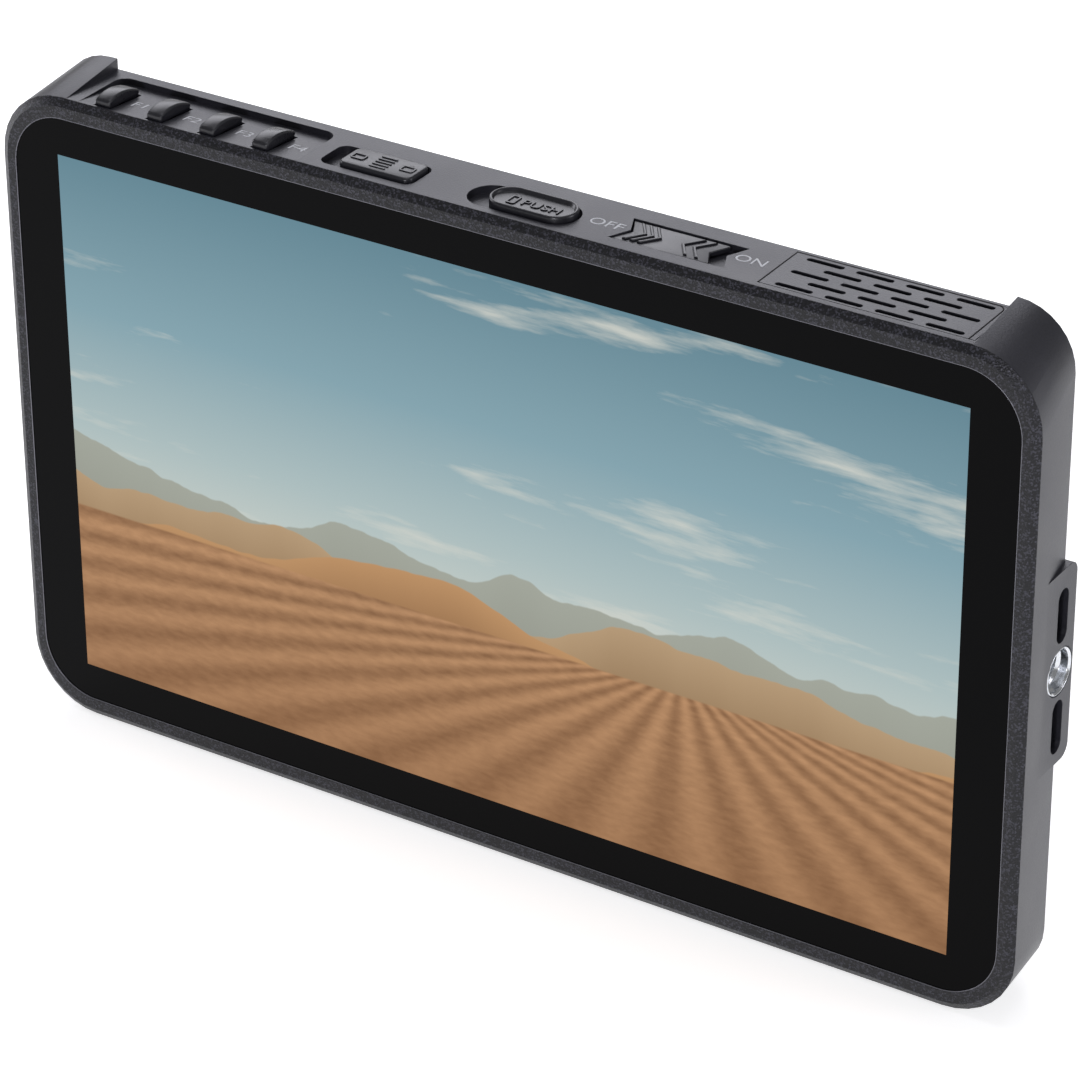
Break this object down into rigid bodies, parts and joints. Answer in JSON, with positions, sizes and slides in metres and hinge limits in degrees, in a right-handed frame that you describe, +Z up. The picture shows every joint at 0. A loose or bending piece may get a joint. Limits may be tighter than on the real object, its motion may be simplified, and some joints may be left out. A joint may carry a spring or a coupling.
{
  "type": "camera field monitor",
  "caption": "Camera-top field monitor: slim black metal body, wide screen under glass, function keys and sliders along the top, tripod sockets at side and base.",
  "frame": {"origin": "middle of the footprint, on the surface that the monitor stands on", "axes": "+X to the viewer's right along the screen, +Y from the screen to the back, +Z up"},
  "size_m": [0.1742, 0.025, 0.1081],
  "materials": {
    "frame_aluminium": "satin",
    "moulded_plastic": "matte",
    "cover_glass": "gloss",
    "lcd": "gloss",
    "black_tape": "matte",
    "tray_steel": "satin",
    "board_green": "gloss",
    "polyimide": "gloss",
    "contact_gold": "satin",
    "bright_steel": "polished",
    "spring_steel": "satin",
    "black_screw": "satin",
    "zinc_screw": "satin",
    "port_shell": "satin",
    "switch_plastic": "matte"
  },
  "bodies": {
    "monitor": {"front_frame": "frame_aluminium", "cover_glass": "cover_glass", "glass_adhesive": "black_tape", "lcd_panel": "lcd", "backlight_tray": "tray_steel", "rear_cover": "moulded_plastic", "battery_plate": "moulded_plastic", "battery_contacts": "contact_gold", "main_board": "board_green", "processor_shield": "port_shell", "screen_cable": "polyimide", "key_board": "board_green", "key_switches": "port_shell", "function_switch": "switch_plastic", "latch_spring": "spring_steel", "power_board": "board_green", "power_switch": "switch_plastic", "speaker_grille": "frame_aluminium", "speaker": "switch_plastic", "side_socket": "bright_steel", "bottom_socket": "bright_steel", "hdmi_ports": "port_shell", "usb_port": "port_shell", "headphone_jack": "switch_plastic", "power_inlet": "switch_plastic", "cover_screws": "black_screw", "board_screws": "zinc_screw", "key_board_screws": "zinc_screw", "plate_screws": "black_screw"},
    "f1_key_body": {"f1_key": "moulded_plastic"},
    "f2_key_body": {"f2_key": "moulded_plastic"},
    "f3_key_body": {"f3_key": "moulded_plastic"},
    "f4_key_body": {"f4_key": "moulded_plastic"},
    "function_body": {"function_slider": "moulded_plastic"},
    "release_body": {"release_slider": "moulded_plastic", "release_link": "spring_steel"},
    "latch_body": {"battery_latch": "spring_steel"},
    "power_body": {"power_slider": "moulded_plastic"}
  },
  "joints": [
    {"name": "f1_press", "type": "slide", "parent": "monitor", "child": "f1_key_body", "axis": [0, 0, -1], "range_m": [0, 0.0006], "stiffness_N_per_m": 300},
    {"name": "f2_press", "type": "slide", "parent": "monitor", "child": "f2_key_body", "axis": [0, 0, -1], "range_m": [0, 0.0006], "stiffness_N_per_m": 300},
    {"name": "f3_press", "type": "slide", "parent": "monitor", "child": "f3_key_body", "axis": [0, 0, -1], "range_m": [0, 0.0006], "stiffness_N_per_m": 300},
    {"name": "f4_press", "type": "slide", "parent": "monitor", "child": "f4_key_body", "axis": [0, 0, -1], "range_m": [0, 0.0006], "stiffness_N_per_m": 300},
    {"name": "function_slide", "type": "slide", "parent": "monitor", "child": "function_body", "axis": [-1, 0, 0], "range_m": [0, 0.0026]},
    {"name": "release_slide", "type": "slide", "parent": "monitor", "child": "release_body", "axis": [-1, 0, 0], "range_m": [0, 0.0032], "stiffness_N_per_m": 150, "deforming": ["latch_spring"]},
    {"name": "latch_retract", "type": "slide", "parent": "monitor", "child": "latch_body", "axis": [0, -1, 0], "range_m": [0, 0.0024]},
    {"name": "power_slide", "type": "slide", "parent": "monitor", "child": "power_body", "axis": [1, 0, 0], "range_m": [0, 0.0024]}
  ],
  "couplings": [
    {"joint": "latch_retract", "follows": "release_slide", "ratio": 0.75}
  ]
}
